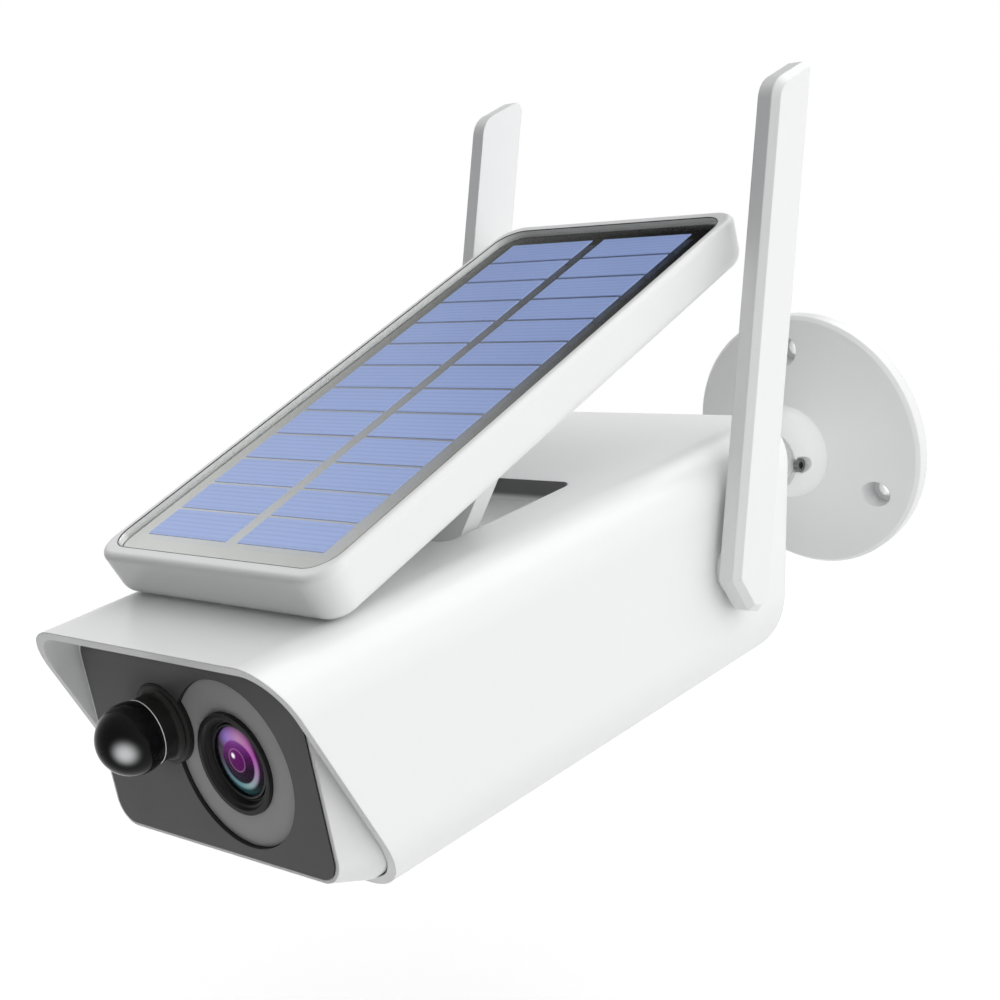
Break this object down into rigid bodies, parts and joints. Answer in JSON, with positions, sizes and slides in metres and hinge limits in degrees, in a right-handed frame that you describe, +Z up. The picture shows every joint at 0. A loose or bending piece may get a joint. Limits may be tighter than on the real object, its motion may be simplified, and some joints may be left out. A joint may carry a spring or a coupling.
{
  "type": "solar security camera",
  "caption": "Wall-mounted outdoor security camera with a box housing, round lens, ball motion sensor, folding solar panel on top, hinged side antennas and a ball-joint wall plate.",
  "frame": {"origin": "centre of the wall plate's back face, on the wall", "axes": "+Y into the wall, -Y the way the camera looks, +Z up"},
  "size_m": [0.103, 0.2487, 0.1503],
  "materials": {
    "white_shell": "glossy white ABS with a very fine moulded texture",
    "dark_panel": "satin charcoal plastic",
    "smoked_ring": "satin grey infrared window",
    "black_plastic": "satin black plastic",
    "gloss_black": "polished black dome",
    "black_metal": "black anodised aluminium",
    "coated_glass": "convex glass with purple anti-reflection coating",
    "cover_glass": "clear cover glass",
    "silicon": "blue silicon with fine silver fingers",
    "backing": "grey laminated backing sheet",
    "circuit": "green solder mask",
    "chip": "black moulded package",
    "led": "clear epoxy emitter",
    "can": "plain steel",
    "stud": "white powder coat",
    "cell_wrap": "blue shrink sleeve",
    "rubber": "soft light grey rubber"
  },
  "bodies": {
    "mount": {"wall_plate": "white_shell", "clamp_screw": "can"},
    "liner": {"ball_liner": "black_plastic"},
    "camera": {"ball_stud": "stud", "flange_screws": "can", "outer_shell": "white_shell", "rear_cap": "white_shell", "cap_screws": "can", "front_housing": "white_shell", "front_panel": "dark_panel", "lens_ring": "smoked_ring", "lens_bezel": "black_plastic", "lens_barrel": "black_metal", "lens_glass": "coated_glass", "camera_board": "circuit", "board_screws": "can", "lens_holder": "black_plastic", "image_sensor": "chip", "led_board": "circuit", "infrared_leds": "led", "pir_collar": "black_plastic", "pir_dome": "gloss_black", "pir_board": "circuit", "pir_sensor": "can", "battery_cells": "cell_wrap", "battery_holder": "black_plastic", "main_board": "circuit", "charge_port": "can", "button_switch": "chip", "speaker": "chip", "microphone": "chip", "antenna_pivots": "can", "bracket_pin": "can"},
    "left_antenna": {"antenna_left": "white_shell"},
    "right_antenna": {"antenna_right": "white_shell"},
    "bracket": {"panel_bracket": "white_shell"},
    "panel": {"panel_frame": "white_shell", "panel_glass": "cover_glass", "cell_sheet": "backing", "solar_cells": "silicon", "panel_pin": "can"},
    "button": {"power_button": "rubber"},
    "flap": {"service_flap": "rubber"}
  },
  "joints": [
    {"name": "socket_pan", "type": "hinge", "parent": "mount", "child": "liner", "pos_m": [0, -0.016, 0], "axis": [0, 0, 1], "range_deg": [-24, 24]},
    {"name": "socket_tilt", "type": "hinge", "parent": "liner", "child": "camera", "pos_m": [0, -0.016, 0], "axis": [1, 0, 0], "range_deg": [-18, 20]},
    {"name": "antenna_left_swing", "type": "hinge", "parent": "camera", "child": "left_antenna", "pos_m": [-0.046, -0.1035, -0.0006], "axis": [1, 0, 0], "range_deg": [-30, 112]},
    {"name": "antenna_right_swing", "type": "hinge", "parent": "camera", "child": "right_antenna", "pos_m": [0.046, -0.1035, -0.0006], "axis": [1, 0, 0], "range_deg": [-30, 112]},
    {"name": "bracket_fold", "type": "hinge", "parent": "camera", "child": "bracket", "pos_m": [0, -0.1651, 0.0248], "axis": [1, 0, 0], "range_deg": [-43.5, 0]},
    {"name": "panel_tilt", "type": "hinge", "parent": "bracket", "child": "panel", "pos_m": [0, -0.14491, 0.04396], "axis": [1, 0, 0], "range_deg": [0, 28.21]},
    {"name": "button_press", "type": "slide", "parent": "camera", "child": "button", "axis": [0, 0, 1], "range_m": [0, 0.0005]},
    {"name": "flap_open", "type": "hinge", "parent": "camera", "child": "flap", "pos_m": [0, -0.1491, -0.0291], "axis": [1, 0, 0], "range_deg": [-90, 0]}
  ],
  "couplings": [
    {"joint": "panel_tilt", "follows": "bracket_fold", "ratio": -0.64851}
  ]
}
